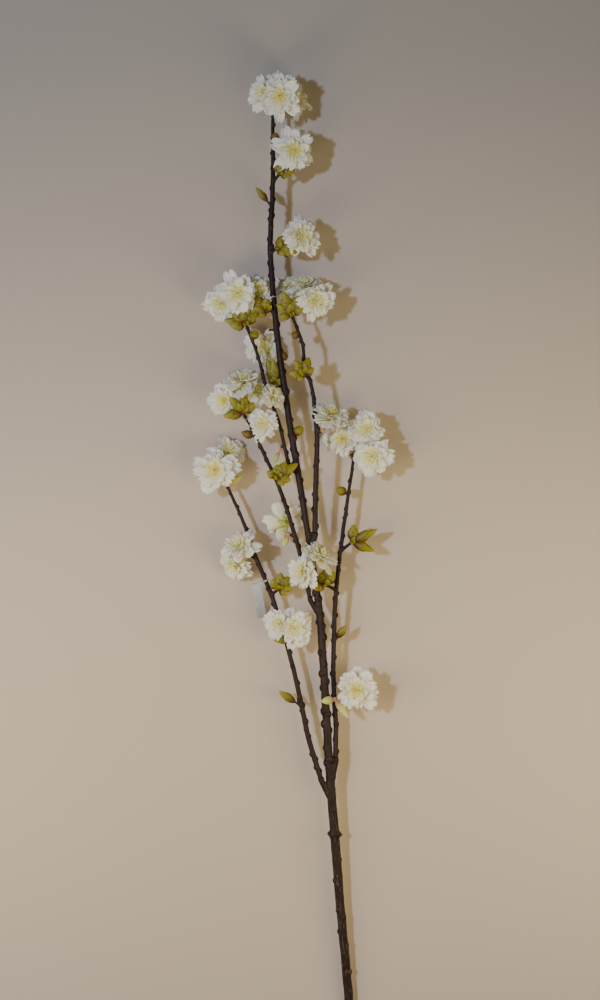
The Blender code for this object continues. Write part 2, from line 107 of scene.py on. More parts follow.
# %% The buds on the stems, and the picks with their blossoms
# A bud: its stem, how far along it grows, its tip seen from the stem's middle there, and its look.
BUDS = [
    ("main_stem", 937, (4, 8, 6), "brown"),
    ("main_stem", 872, (-16, 19, 2), "olive"),
    ("main_stem", 749, (-8.5, 0, 1), "knot"),
    ("main_stem", 722, (8, 2, 1), "brown"),
    ("main_stem", 643, (11, 10, 3), "olive"),
    ("side_branch_upper_left", 737, (3, 11, 4), "olive"),
    ("side_branch_upper_left", 637, (-10, -21, 4), "pale"),
    ("side_branch_middle_right", 741, (-9, 4, 2), "brown"),
    ("side_branch_middle_left", 642, (-15, 5, 2), "brown"),
    ("side_branch_lower_left", 373, (-23, 16, 3), "olive"),
    ("side_branch_lower_right", 585, (-12, 7, 2), "olive"),
    ("side_branch_lower_right", 437, (13, 18, 3), "olive"),
]

# A pick: its stem, how far along its spur leaves, its knuckle, its scales' look and their tips seen
# from the knuckle, and its blossoms: middle, radius and the way each one faces.
PICKS = [
    ("main_stem", 962, (-27, 966, 35), "pale", [(6, -1, 3), (-6, 3, 4)], [
        ((-20, 980, 51), 20, (0, -0.1, 1)),
        ((-37, 985, 38), 17, (-0.4, 0.1, 0.9)),
        ((-3, 984, 28), 19, (0.6, 0.2, 0.5)),
    ]),
    ("main_stem", 897, (-20, 904, 41), "olive", [(-2, 13, 1), (9, -2, 3), (15, 4, 2), (10, 9, 0)], [
        ((-5, 926, 52), 19, (0.2, -0.05, 1)),
    ]),
    ("main_stem", 826, (-22.5, 830, 43), "olive",
     [(4, 10, 3), (10, 13, 1), (15, -1, 3), (20, -6, 1), (7, -7, 3)], [
        ((3, 842, 50), 19, (0.35, 0.1, 1)),
    ]),
    ("main_stem", 768, (-32.5, 768, 43), "olive",
     [(-17, 16, 2), (-15, 2, 3), (-2, 12, 4), (-11, -5, 2)], []),
    ("main_stem", 690, (-23, 695, 35), "olive", [(-10, 25, 3), (-4, 24, 5), (-3, 13, 3), (-8, 10, 0)], [
        ((-36, 733, 22), 18, (0.3, 0, 0.95)),
    ]),
    ("side_branch_upper_left", 750, (-54, 754, 47.5), "olive",
     [(-20, 4, 2), (-14, -2, 4), (-13, 11, 2), (-3, 13, 4), (11, 11, 2)], [
        ((-62, 784, 57), 19, (-0.05, 0, 1)),
        ((-79, 775, 42), 16, (-0.1, -0.15, 1)),
        ((-41, 788, 40), 16, (0.2, 0.3, 0.9)),
    ]),
    ("side_branch_middle_right", 760, (-8.5, 764, 47.5), "olive",
     [(-14, 9, 3), (-11, -3, 3), (-8, 21, 4), (7, 17, 5), (11, 6, 3), (-1, 9, 6)], [
        ((17, 777, 51), 19, (0.35, -0.2, 0.9)),
        ((5, 796, 44), 17, (0, 0.75, 0.6)),
        ((-14, 795, 24), 16, (-0.2, 0.6, 0.6)),
    ]),
    ("side_branch_middle_right", 700, (4, 704, 54), "olive",
     [(5, 17, 2), (-10, 14, 3), (-15, 1, 2), (-6, -6, 4), (10, 6, 2)], []),
    ("side_branch_upper_left", 674, (-29, 674, 50.5), "pale", [(-6, 9, 4)], [
        ((-36.5, 655, 56), 15, (-0.05, 0, 1)),
        ((-25, 683, 56.5), 13, (0.6, 0.25, 0.55)),
    ]),
    ("side_branch_middle_left", 662, (-56, 666, 51.5), "olive",
     [(-19, -3, 3), (-13, 15, 3), (-5, 9, 5), (11, 9, 2), (2, 17, 2)], [
        ((-76, 678, 48), 16, (-0.35, -0.1, 0.9)),
        ((-57, 700, 54), 19, (-0.05, 0.8, 0.55)),
        ((-42, 689, 46), 15, (0.35, 0.2, 0.9)),
    ]),
    ("side_branch_middle_left", 602, (-22, 603, 53), "olive",
     [(-11, 5, 2), (-3, -1, 7), (-1, 12, 2), (8, 15, 2), (20, 13, 1), (13, -4, 2), (6, -9, 3)], []),
    ("side_branch_middle_right", 646, (22.5, 649, 52), "pale", [(0, 14, 1)], [
        ((32, 666, 55), 18, (0.2, 0.8, 0.55)),
    ]),
    ("side_branch_lower_right", 621, (53.5, 624.5, 27), "brown", [(-4, -2, 5), (4, 5, 5)], [
        ((66, 651, 46), 18, (-0.05, 0.15, 1)),
        ((42, 641, 31), 17, (-0.3, 0.1, 0.95)),
        ((71, 623, 44), 19, (-0.2, -0.2, 0.95)),
    ]),
    ("side_branch_middle_left", 544, (-12, 546, 41), "pale", [(-5, -12, 1), (-9, 3, 2)], [
        ((-19, 559, 25), 18, (-0.3, 0.2, -0.8)),
    ]),
    ("side_branch_lower_left", 592, (-74, 595.5, 25), "pale", [(16, 8, 4), (11, 17, 4)], [
        ((-85, 610, 42), 20, (-0.15, 0, 1)),
        ((-71, 630, 20), 17, (0.3, 0.4, 0.8)),
    ]),
    ("side_branch_lower_left", 522, (-51, 524, 28.5), "pale", [(-14, -4, 9)], [
        ((-62, 537, 39), 18, (-0.3, 0.5, 0.7)),
        ((-66, 512, 24), 16, (-0.4, -0.5, 0.7)),
    ]),
    ("side_branch_lower_left", 485, (-21, 491, 31), "olive",
     [(-8, 10, 2), (2, 17, 2), (11, 13, 2), (14, 1, 3), (8, -5, 4), (0, 4, 8)], []),
    ("side_branch_lower_left", 434, (-11, 443, 37), "olive", [(-15, -2, 2), (5, -9, 3)], [
        ((-5.5, 453, 49), 17.5, (0.15, 0, 1)),
        ((-21, 457, 45), 15, (-0.25, 0.05, 0.95)),
    ]),
    ("side_branch_lower_right", 529, (52, 538, 34), "olive", [(2, 18, 2), (25, 13, 2), (22, -9, 1)], []),
    ("side_branch_lower_right", 490, (25, 496, 43), "olive",
     [(-12, -4, 2), (3, 22, 2), (9, 13, 1), (-5, 12, 3), (4, 5, 7)], []),
    ("main_stem", 503, (12, 509, 46), "pale", [(0, 13, 6)], [
        ((0, 510, 55), 18.5, (-0.75, 0.05, 0.65)),
        ((22, 528, 54), 17, (0.55, 0.72, 0.42)),
    ]),
    ("side_branch_lower_right", 378, (35, 381, 33), "pale", [(-14, -1, 8), (13, -18, 5)], [
        ((56.5, 391.5, 44), 20, (0.05, 0.1, 1)),
    ]),
]
BLOSSOMS = [blossom for pick in PICKS for blossom in pick[5]]
print("plan:", len(ROUTES), "stems,", len(BUDS), "buds,", len(PICKS), "picks,", len(BLOSSOMS), "blossoms")

# %% Test the offset on the solids
farthest = 0
for number, (middle, radius, _) in enumerate(BLOSSOMS, 1):
    low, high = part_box(f"blossom_{number:02}")
    planned = (Vector(middle) - PLAN_CENTRE) * MM
    outside = max(max(low[k] - planned[k], planned[k] - high[k], 0) for k in range(3))
    farthest = max(farthest, outside)
print("a planned blossom's middle lies at most", round(farthest / MM, 1), "mm outside its solid")

# %% [markdown]
# ## The camera, the table and the light
#
# The spray lies on a pale table and is seen from straight above, as it was seen standing against a wall.
# A camera without rotation looks down its own -Z with +Y up in the picture, which is the plan's own view.
# A portrait lens from 1.8 m keeps the near blossoms from swelling.
#
# The light is a cool key and warm strips. The key is a small lamp up on the left, so every blossom throws
# a shadow to its right, as long as it stands high. Two strips lie low on both sides, nearer the foot of
# the spray than its tip: they warm the shadows and let the far end fall off. No lamp shows to the camera.

# %% Camera and stage
LENS = 65
VIEW_HEIGHT = 1835
VIEW_CENTRE = Vector((0, 580, 0))
TABLE_SIZE = 8


def to_linear(hex_colour):
    """An sRGB colour such as "#c0a080" as the linear numbers that a shader takes."""
    channels = [int(hex_colour[i:i + 2], 16) / 255 for i in (1, 3, 5)]
    return tuple(c / 12.92 if c <= 0.04045 else ((c + 0.055) / 1.055) ** 2.4 for c in channels)


camera_data = bpy.data.cameras.new("overhead_camera")
camera_data.lens = LENS
camera = bpy.data.objects.new("overhead_camera", camera_data)
camera.location = (VIEW_CENTRE - PLAN_CENTRE + Vector((0, 0, VIEW_HEIGHT))) * MM
bpy.context.scene.collection.objects.link(camera)
bpy.context.scene.camera = camera
print("camera at", [round(c, 3) for c in camera.location])


def panel_light(name, place, aim, width, length, watts, colour):
    """A panel of light at place, turned to aim, both in metres, that the camera looks through."""
    data = bpy.data.lights.new(name, "AREA")
    data.shape = "RECTANGLE"
    data.size = width
    data.size_y = length
    data.energy = watts
    data.color = to_linear(colour)
    light = bpy.data.objects.new(name, data)
    light.location = place
    light.rotation_euler = (Vector(aim) - Vector(place)).to_track_quat("-Z", "Y").to_euler()
    light.visible_camera = False
    bpy.context.scene.collection.objects.link(light)


panel_light("key", (-0.92, 0.255, 2.01), (0, 0.1, 0), 0.115, 0.115, 31, "#ccdbfb")
for side, watts in ((-1, 3.0), (1, 3.5)):
    panel_light(f"strip_{side}", (0.45 * side, -0.16, 0.5), (0, -0.05, 0), 0.25, 0.7, watts, "#ffecb5")
world = bpy.data.worlds.new("room")
world.use_nodes = True
world.node_tree.nodes["Background"].inputs["Color"].default_value = (*to_linear("#ffecb5"), 1)
world.node_tree.nodes["Background"].inputs["Strength"].default_value = 0.152
bpy.context.scene.world = world

# %% [markdown]
# ## Two small helpers
#
# A material is a tree of nodes, and most lines of such code say the same thing: make a node, set it, link
# it. One function does that. The second one files a finished piece: it moves the drawing from the plan's
# millimetres into the frame's metres, gives it its material, and hangs it on the spray's one body.

# %% Node helper
def add(tree, kind, inputs=None, **settings):
    """Adds a shader node. inputs gives each named socket a value, or another node's output."""
    made = tree.nodes.new("ShaderNode" + kind)
    for name, value in settings.items():
        setattr(made, name, value)
    for socket, value in (inputs or {}).items():
        if isinstance(value, bpy.types.NodeSocket):
            tree.links.new(value, made.inputs[socket])
        else:
            made.inputs[socket].default_value = value
    return made


def new_material(name):
    """An empty material, its tree and its shader."""
    made = bpy.data.materials.new(name)
    made.use_nodes = True
    return made, made.node_tree, made.node_tree.nodes["Principled BSDF"]


MIX_FACTOR, MIX_A, MIX_B, MIX_RESULT = 0, 6, 7, 2  # a colour Mix node's sockets


def blend_colours(tree, factor, first, second):
    """The output of a Mix between two colours, each a hex value or a socket."""
    both = [(*to_linear(c), 1) if isinstance(c, str) else c for c in (first, second)]
    mix = add(tree, "Mix", {MIX_FACTOR: factor, MIX_A: both[0], MIX_B: both[1]}, data_type="RGBA")
    return mix.outputs[MIX_RESULT]


# %% Table
def table_material():
    """A matt painted board, warm grey, with painted shade: a little cooler and darker towards the far end, where
    the light falls off.
    """
    made, tree, shader = new_material("matt_painted_board")
    place = add(tree, "TexCoord").outputs["Object"]
    far = add(tree, "SeparateXYZ", {0: place}).outputs["Y"]
    # Painted shade: the light's fall-off towards the far end is drawn into the board's colour.
    painted_falloff = add(tree, "MapRange", {0: far, "From Min": 0.05, "From Max": 0.54}).outputs[0]
    colour = blend_colours(tree, painted_falloff, "#bfafa3", "#a09890")
    grain = add(tree, "TexNoise", {"Vector": place, "Scale": 400, "Detail": 4}).outputs["Fac"]
    bump = add(tree, "Bump", {"Height": grain, "Strength": 0.05, "Distance": 0.0005})
    tree.links.new(colour, shader.inputs["Base Color"])
    tree.links.new(bump.outputs[0], shader.inputs["Normal"])
    shader.inputs["Roughness"].default_value = 0.85
    return made


board = bmesh.new()
bmesh.ops.create_grid(board, x_segments=1, y_segments=1, size=TABLE_SIZE / 2)
table_mesh = bpy.data.meshes.new("table")
board.to_mesh(table_mesh)
board.free()
table = bpy.data.objects.new("table", table_mesh)
table.data.materials.append(table_material())
bpy.context.scene.collection.objects.link(table)

# %% Filing a piece
def file_piece(name, bm, material, replaces=(), smooth=True):
    """The bmesh, drawn in the plan's millimetres, as a finished piece of the spray."""
    bmesh.ops.translate(bm, vec=-PLAN_CENTRE, verts=bm.verts)
    bmesh.ops.scale(bm, vec=(MM, MM, MM), verts=bm.verts)
    mesh = bpy.data.meshes.new(name)
    bm.to_mesh(mesh)
    bm.free()
    if smooth:
        mesh.shade_smooth()
    piece = bpy.data.objects.new(name, mesh)
    bpy.context.scene.collection.objects.link(piece)
    mesh.materials.append(material)
    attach(piece, "root")
    for node_name in replaces:
        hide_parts(node_name)
    return piece


def with_modifiers(piece):
    """Works out the piece's modifiers, so that its mesh is what shows."""
    graph = bpy.context.evaluated_depsgraph_get()
    mesh = bpy.data.meshes.new_from_object(piece.evaluated_get(graph))
    piece.modifiers.clear()
    piece.data = mesh
    return piece


# %% [markdown]
# ## Stems
#
# A real cherry twig is knotted: every few millimetres a leaf has left a scar with a small shoulder above
# it, left and right in turn. The maker presses that into the plastic round the wire. A bevelled curve
# would give a clean tube, and bump alone would leave its outline straight, so each stem is a ring of
# points extruded along its route, with shoulders, collars, spurs and bud stalks set on it as overlapping
# shapes. A voxel remesh then melts them into one skin, as the mould does, and noise roughens it.

# %% Routes as smooth curves
def on_route(route, y):
    """The point and the radius at y on a smooth curve through the route's points."""
    last = len(route) - 2
    i = max(k for k in range(last + 1) if k == 0 or route[k][1] <= y)
    before, start, end, after = (
        Vector(route[max(0, min(k, last + 1))]) for k in (i - 1, i, i + 1, i + 2)
    )
    span = end[1] - start[1]
    t = (y - start[1]) / span
    leave = (end - before) * (span / (end[1] - before[1]))
    arrive = (after - start) * (span / (after[1] - start[1]))
    there = (
        start * (2 * t**3 - 3 * t**2 + 1)
        + leave * (t**3 - 2 * t**2 + t)
        + end * (3 * t**2 - 2 * t**3)
        + arrive * (t**3 - t**2)
    )
    return there.to_3d(), there[3]


def direction_at(route, y):
    """Which way the stem runs at y."""
    return (on_route(route, y + 1)[0] - on_route(route, y)[0]).normalized()


# %% Bars made by extruding a ring
def swept_bar(bm, centres, radii, sides):
    """A round bar: a disc extruded from centre to centre, turned and sized on the way, and capped."""
    heading = (centres[1] - centres[0]).normalized()
    place = Matrix.Translation(centres[0]) @ heading.to_track_quat("Z", "Y").to_matrix().to_4x4()
    disc = bmesh.ops.create_circle(
        bm, cap_ends=True, segments=sides, radius=radii[0], matrix=place
    )["verts"]
    rim = [edge for edge in disc[0].link_faces[0].edges]
    made = list(disc)
    for k in range(1, len(centres)):
        after = centres[min(k + 1, len(centres) - 1)]
        new_heading = (after - centres[k - 1]).normalized()
        turn = heading.rotation_difference(new_heading).to_matrix().to_4x4()
        size = Matrix.Scale(radii[k] / radii[k - 1], 4)
        grown = bmesh.ops.extrude_edge_only(bm, edges=rim)["geom"]
        ring = [part for part in grown if isinstance(part, bmesh.types.BMVert)]
        ring_set = set(ring)
        rim = [
            part for part in grown
            if isinstance(part, bmesh.types.BMEdge) and set(part.verts) <= ring_set
        ]
        move = Matrix.Translation(centres[k]) @ turn @ size @ Matrix.Translation(-centres[k - 1])
        bmesh.ops.transform(bm, matrix=move, verts=ring)
        heading = new_heading
        made += ring
    bmesh.ops.edgeloop_fill(bm, edges=rim)
    faces = list({face for vert in made for face in vert.link_faces})
    bmesh.ops.recalc_face_normals(bm, faces=faces)
    return made


RING_SPACING = 5
STEM_SIDES = 14
KNOT_SPACING = 8
TRUNK_TOP = 275
TRUNK_SMOOTHNESS = 0.72
TRUNK_SPREAD = 2.2
WOBBLE = 0.45


def stem_centres(route, first, last, name):
    """Rings along a stem, with the slight kinks of a twig that grew from bud to bud."""
    count = max(2, round((last - first) / RING_SPACING))
    centres, radii = [], []
    for k in range(count + 1):
        y = first + (last - first) * k / count
        centre, radius = on_route(route, y)
        kink = noise.noise_vector(Vector((y / 14, len(name), 0))) * WOBBLE
        ease = min(1, (y - first) / 12, (last - y) / 12)
        centres.append(centre + Vector((kink.x, 0, kink.y)) * ease)
        radii.append(radius * (1 + 0.05 * noise.noise(Vector((y / 6, 3 * len(name), 5)))))
    return centres, radii


def add_knots(bm, route, first, last, rng):
    """Leaf scars: a shoulder on one side, then on the other, each with a little ring round the stem."""
    side, y = 1, first + 6
    while y < last - 3:
        centre, radius = on_route(route, y)
        along = direction_at(route, y)
        out = along.cross(Vector((0, 0, 1))).normalized() * side
        out = Quaternion(along, rng.uniform(-0.9, 0.9)) @ out
        size = (radius * rng.uniform(0.4, 0.68) + 0.7) * (1 if y > TRUNK_TOP else TRUNK_SMOOTHNESS)
        turn = out.to_track_quat("X", "Z").to_matrix().to_4x4()
        lump = Matrix.Translation(centre + out * (radius * 0.88)) @ turn @ Matrix.Diagonal((0.75, 1.25, 1, 1))
        bmesh.ops.create_uvsphere(bm, u_segments=10, v_segments=7, radius=size, matrix=lump)
        collar_ends = [centre - along * 1.1, centre, centre + along * 1.1]
        swell = radius * rng.uniform(0.97, 1.12 if y > TRUNK_TOP else 1.04)
        swept_bar(bm, collar_ends, [radius * 0.96, swell, radius * 0.96], STEM_SIDES)
        side = -side
        y += KNOT_SPACING * rng.uniform(0.4, 2.2) * (1 if y > TRUNK_TOP else TRUNK_SPREAD)


# %% Collars, spurs and stalks that grow from the stems
NODE_AT = 244
NODE_SWELL = 1.35
NODE_HALF_LENGTH = 4.2


def add_trunk_node(bm):
    """The one big node on the trunk: a swollen ring with a blunt knob on either side."""
    centre, radius = on_route(ROUTES["main_stem"], NODE_AT)
    along = direction_at(ROUTES["main_stem"], NODE_AT)
    shares = (-1, -0.4, 0.3, 1)
    centres = [centre + along * (NODE_HALF_LENGTH * share) for share in shares]
    radii = [radius * swell for swell in (0.97, NODE_SWELL * 0.92, NODE_SWELL, 0.97)]
    swept_bar(bm, centres, radii, STEM_SIDES)
    across = along.cross(Vector((0, 0, 1))).normalized()
    for side, drop in ((-1, 1.2), (1, -0.8)):
        knob = Matrix.Translation(centre + across * (side * radius * NODE_SWELL * 0.8) + along * drop)
        bmesh.ops.create_uvsphere(bm, u_segments=10, v_segments=7, radius=radius * 0.5, matrix=knob)


SPUR_RADIUS = 1.5
KNUCKLE_RADIUS = 2.6
GAP = 0.3
PEG_LENGTH = 7


def add_collars(bm):
    """The five sockets on the main stem, each flared at its mouth where a branch is pushed in."""
    for name, root_below in SOCKET_ROOTS.items():
        route = ROUTES[name]
        start, radius = on_route(route, route[0][1])
        along = direction_at(route, route[0][1])
        root = on_route(ROUTES["main_stem"], route[0][1] - root_below)[0]
        neck = start - along * (PEG_LENGTH * 0.6)
        lip = start - along * 1.6
        centres = [root, root.lerp(neck, 0.5), neck, lip, start]
        radii = [radius * share for share in (0.95, 1.05, 1.1, 1.22, 1.08)]
        swept_bar(bm, centres, radii, STEM_SIDES)


def add_spurs(bm, stem_name):
    """The short spurs that the picks are pushed on."""
    for name, along, knuckle, *_ in PICKS:
        if name != stem_name:
            continue
        root = on_route(ROUTES[name], along)[0]
        outward = (Vector(knuckle) - root).normalized()
        end = Vector(knuckle) - outward * (KNUCKLE_RADIUS - 0.6)
        middle = root.lerp(end, 0.6)
        swept_bar(bm, [root, middle, end], [SPUR_RADIUS * 1.6, SPUR_RADIUS * 1.1, SPUR_RADIUS], 10)


# How much of a bud's reach is dark stalk. A knot is all stalk, since its bud has gone.
STALK_SHARES = {"knot": 0.95, "olive": 0.42, "brown": 0.42, "pale": 0.25}


def add_bud_stalks(bm, stem_name):
    """The stalks of the single buds, and the bare stub that has lost its bud."""
    for name, along, reach, look in BUDS:
        if name != stem_name:
            continue
        centre, radius = on_route(ROUTES[name], along)
        end = centre + Vector(reach) * STALK_SHARES[look]
        start = centre + Vector(reach).normalized() * (radius * 0.4)
        swept_bar(bm, [start, start.lerp(end, 0.5), end], [1.5, 1.0, 1.25], 10)


# %% [markdown]
# The coating is PVC dipped and pressed on steel wire: nearly black brown, matt, with khaki wear on the
# thick lower stem. The colour follows the place on the spray, so it reads Object coordinates. The bark's
# fine lengthwise wrinkles are under a millimetre wide; they are drawn at 0.8 mm, where they can be seen.

# %% Coated stem material
def coated_stem_material():
    """PVC coating with pressed bark: dark brown, matt, khaki and grey where the thick stem is worn."""
    made, tree, shader = new_material("pressed_pvc_bark")
    place = add(tree, "TexCoord").outputs["Object"]
    streaks = add(tree, "Mapping", {"Vector": place, "Scale": (1, 0.25, 1)}).outputs[0]
    wrinkles = add(tree, "TexNoise", {"Vector": streaks, "Scale": 1250, "Detail": 4}).outputs["Fac"]
    blotches = add(tree, "TexNoise", {"Vector": place, "Scale": 130, "Detail": 3}).outputs["Fac"]
    coat = blend_colours(tree, wrinkles, "#170a0b", "#301d1c")
    patchy = add(tree, "MapRange", {0: blotches, "From Min": 0.42, "From Max": 0.68}).outputs[0]
    coat = blend_colours(tree, patchy, coat, "#1e0f10")
    flecks = add(tree, "TexNoise", {"Vector": streaks, "Scale": 620, "Detail": 2}).outputs["Fac"]
    fleck_mask = add(tree, "MapRange", {0: flecks, "From Min": 0.56, "From Max": 0.66}).outputs[0]
    along = add(tree, "SeparateXYZ", {0: place}).outputs["Y"]
    low = add(tree, "MapRange", {0: along, "From Min": -0.16, "From Max": -0.30}).outputs[0]
    worn = add(tree, "Math", {0: fleck_mask, 1: low}, operation="MULTIPLY").outputs[0]
    greyed = add(tree, "Math", {0: low, 1: 0.25}, operation="MULTIPLY").outputs[0]
    coat = blend_colours(tree, greyed, coat, "#352523")
    coat = blend_colours(tree, worn, coat, "#51473a")
    bump = add(tree, "Bump", {"Height": wrinkles, "Strength": 0.7, "Distance": 0.0004})
    tree.links.new(coat, shader.inputs["Base Color"])
    tree.links.new(bump.outputs[0], shader.inputs["Normal"])
    shader.inputs["Roughness"].default_value = 0.52
    shader.inputs["Specular IOR Level"].default_value = 0.25
    return made


# %% Build the six stems
VOXEL = 0.62
BARK_RELIEF = 0.16
bark = coated_stem_material()


def build_stem(name, route, seed):
    """One stem with all that is moulded on it, melted into one skin and roughened."""
    rng = random.Random(seed)
    bm = bmesh.new()
    first, last = route[0][1], route[-1][1]
    centres, radii = stem_centres(route, first, last, name)
    swept_bar(bm, centres, radii, STEM_SIDES)
    if name == "main_stem":
        add_collars(bm)
        add_trunk_node(bm)
    add_knots(bm, route, first, last, rng)
    add_spurs(bm, name)
    add_bud_stalks(bm, name)
    stem = file_piece(name + "_coating", bm, bark, [name])
    melt = stem.modifiers.new("melt", "REMESH")
    melt.mode = "VOXEL"
    melt.voxel_size = VOXEL * MM
    soften = stem.modifiers.new("soften", "SMOOTH")
    soften.factor = 0.5
    soften.iterations = 2
    with_modifiers(stem)
    skin = bmesh.new()
    skin.from_mesh(stem.data)
    skin.normal_update()
    for vert in skin.verts:
        seen = Vector((vert.co.x * 700, vert.co.y * 190, vert.co.z * 700))
        vert.co += vert.normal * (noise.fractal(seen, 1.0, 2.0, 3) * BARK_RELIEF * MM)
    skin.to_mesh(stem.data)
    skin.free()
    stem.data.materials.clear()
    stem.data.materials.append(bark)
    stem.data.shade_smooth()
    return stem


for seed, (name, route) in enumerate(ROUTES.items(), 1):
    stem = build_stem(name, route, seed)
    print(stem.name, len(stem.data.polygons), "faces")

# %% [markdown]
# At the cut end the wire shows: a blank of bright steel, snipped flush with the plastic round it. It is a
# short disc with a rounded edge, made from a cone whose two radii are the same.

# %% The wire at the cut end
WIRE_RADIUS = 1.6


def wire_material():
    """Cut steel wire: bright metal with the fine drag lines of the cutter."""
    made, tree, shader = new_material("snipped_steel_wire")
    place = add(tree, "TexCoord").outputs["Object"]
    drag = add(tree, "TexNoise", {"Vector": place, "Scale": 2500, "Detail": 2}).outputs["Fac"]
    bump = add(tree, "Bump", {"Height": drag, "Strength": 0.4, "Distance": 0.0001})
    tree.links.new(blend_colours(tree, drag, "#8d8d8c", "#bdbcb8"), shader.inputs["Base Color"])
    tree.links.new(bump.outputs[0], shader.inputs["Normal"])
    shader.inputs["Metallic"].default_value = 1
    shader.inputs["Roughness"].default_value = 0.35
    return made


def build_wire_end():
    route = ROUTES["main_stem"]
    start = on_route(route, 0)[0]
    along = direction_at(route, 0)
    turn = along.to_track_quat("Z", "Y").to_matrix().to_4x4()
    bm = bmesh.new()
    bmesh.ops.create_cone(
        bm, cap_ends=True, segments=20, radius1=WIRE_RADIUS, radius2=WIRE_RADIUS, depth=2.4,
        matrix=Matrix.Translation(start + along * 0.8) @ turn,
    )
    bmesh.ops.bevel(
        bm, geom=[edge for edge in bm.edges if len(edge.link_faces) == 2 and edge.calc_face_angle() > 1],
        offset=0.25, segments=2, profile=0.5, affect="EDGES", material=-1,
    )
    return file_piece("main_stem_wire", bm, wire_material())


print(build_wire_end().name)

# %% [markdown]
# ## Buds and bud scales
#
# The olive buds are injection-moulded and all alike: an almond body with lengthwise ridges, sheathed at
# its foot by two brown scales that end in points. A body is a sphere drawn out to a point, which keeps
# its poles closed. A sheath is a small grid, rolled round the body and given a wall.
# The UV map runs from the foot (0) to the tip (1), so that the brown fades into olive along each bud.

# %% Bud shapes
SCALE_WIDTH = 9.2
SCALE_FULLNESS = 0.56
FULL_SCALE_LENGTH = 14
RIDGES = 7


def uv_map(bm):
    """The bmesh's own UV map, made when first asked for."""
    return bm.loops.layers.uv.get("UVMap") or bm.loops.layers.uv.new("UVMap")


def bud_turn(base, tip):
    """Turns a bud drawn along +Z to point from base to tip, with its broad face up."""
    forward = (tip - base).normalized()
    side = forward.cross(Vector((0, 0, 1)))
    side = side.normalized() if side.length > 0.1 else Vector((1, 0, 0))
    turn = Matrix((side, forward.cross(side), forward)).transposed().to_4x4()
    return Matrix.Translation(base) @ turn


def bud_outline(along):
    """Half the width of a bud, as a share of its widest, from foot to tip."""
    return math.sin(math.pi * along**0.85) ** 0.62 * (1 - 0.22 * along**3) if 0 < along < 1 else 0


def add_bud_body(bm, base, tip, width, thickness, bend):
    """The almond of one bud."""
    length = (tip - base).length
    uv = uv_map(bm)
    body = bmesh.ops.create_uvsphere(bm, u_segments=14, v_segments=12, radius=1)["verts"]
    for vert in body:
        along = (vert.co.z + 1) / 2
        around = math.atan2(vert.co.y, vert.co.x)
        ridge = 1 + 0.07 * math.cos(RIDGES * around)
        full = bud_outline(max(along, 0.02)) * 1.12 * ridge
        vert.co = Vector((
            math.cos(around) * width / 2 * full,
            math.sin(around) * thickness / 2 * full + bend * along * along,
            length * along,
        ))
    for face in {face for vert in body for face in vert.link_faces}:
        for loop in face.loops:
            loop[uv].uv = (0.5 + loop.vert.co.x / width, loop.vert.co.z / length)
    bmesh.ops.transform(bm, matrix=bud_turn(base, tip), verts=body)


def add_sheath(bm, base, tip, width, thickness, bend, facing, reach):
    """A pointed scale wrapped round one side of the bud's foot."""
    length = (tip - base).length
    uv = uv_map(bm)
    sheet = bmesh.ops.create_grid(bm, x_segments=8, y_segments=7, size=1)["verts"]
    drawn = {}
    for vert in sheet:
        across, along = vert.co.x, (vert.co.y + 1) / 2
        drawn[vert] = along * reach
        narrowing = math.sqrt(max(0, 1 - along ** 1.8))
        around = facing + across * 1.75 * narrowing
        height = reach * along
        full = bud_outline(max(height, 0.03)) * 1.22 + 0.05 * along
        vert.co = Vector((
            math.cos(around) * width / 2 * full,
            math.sin(around) * thickness / 2 * full + bend * height * height,
            length * height,
        ))
    faces = {face for vert in sheet for face in vert.link_faces}
    for face in faces:
        for loop in face.loops:
            loop[uv].uv = (0.5, drawn[loop.vert] * 0.95)
    walled = bmesh.ops.solidify(bm, geom=list(faces), thickness=0.28)["geom"]
    every = set(sheet) | {part for part in walled if isinstance(part, bmesh.types.BMVert)}
    bmesh.ops.transform(bm, matrix=bud_turn(base, tip), verts=list(every))


def scale_width(length):
    """A short scale is slimmer than a full-grown one."""
    return SCALE_WIDTH * min(1, length / FULL_SCALE_LENGTH) ** 0.6


def add_bud(bm, base, tip, width, fullness, rng, sheathed=True):
    """One moulded bud from base to tip. Its thickness is its width times its fullness."""
    width, thickness = width * rng.uniform(0.9, 1.1), width * fullness
    bend = rng.uniform(-0.9, 0.9)
    add_bud_body(bm, base, tip, width, thickness, bend)
    if sheathed:
        for facing in (0.9, math.pi + 0.6):
            reach = rng.uniform(0.5, 0.72)
            add_sheath(bm, base, tip, width, thickness, bend, facing, reach)


# %% [markdown]
# The bud plastic is polyethylene, dyed olive in the mass and sprayed brown at the foot, so it has a soft
# sheen. The pale bracts next to the blossoms are the same moulding in yellow-green. Both need the same
# tree with other colours, so one function makes them.

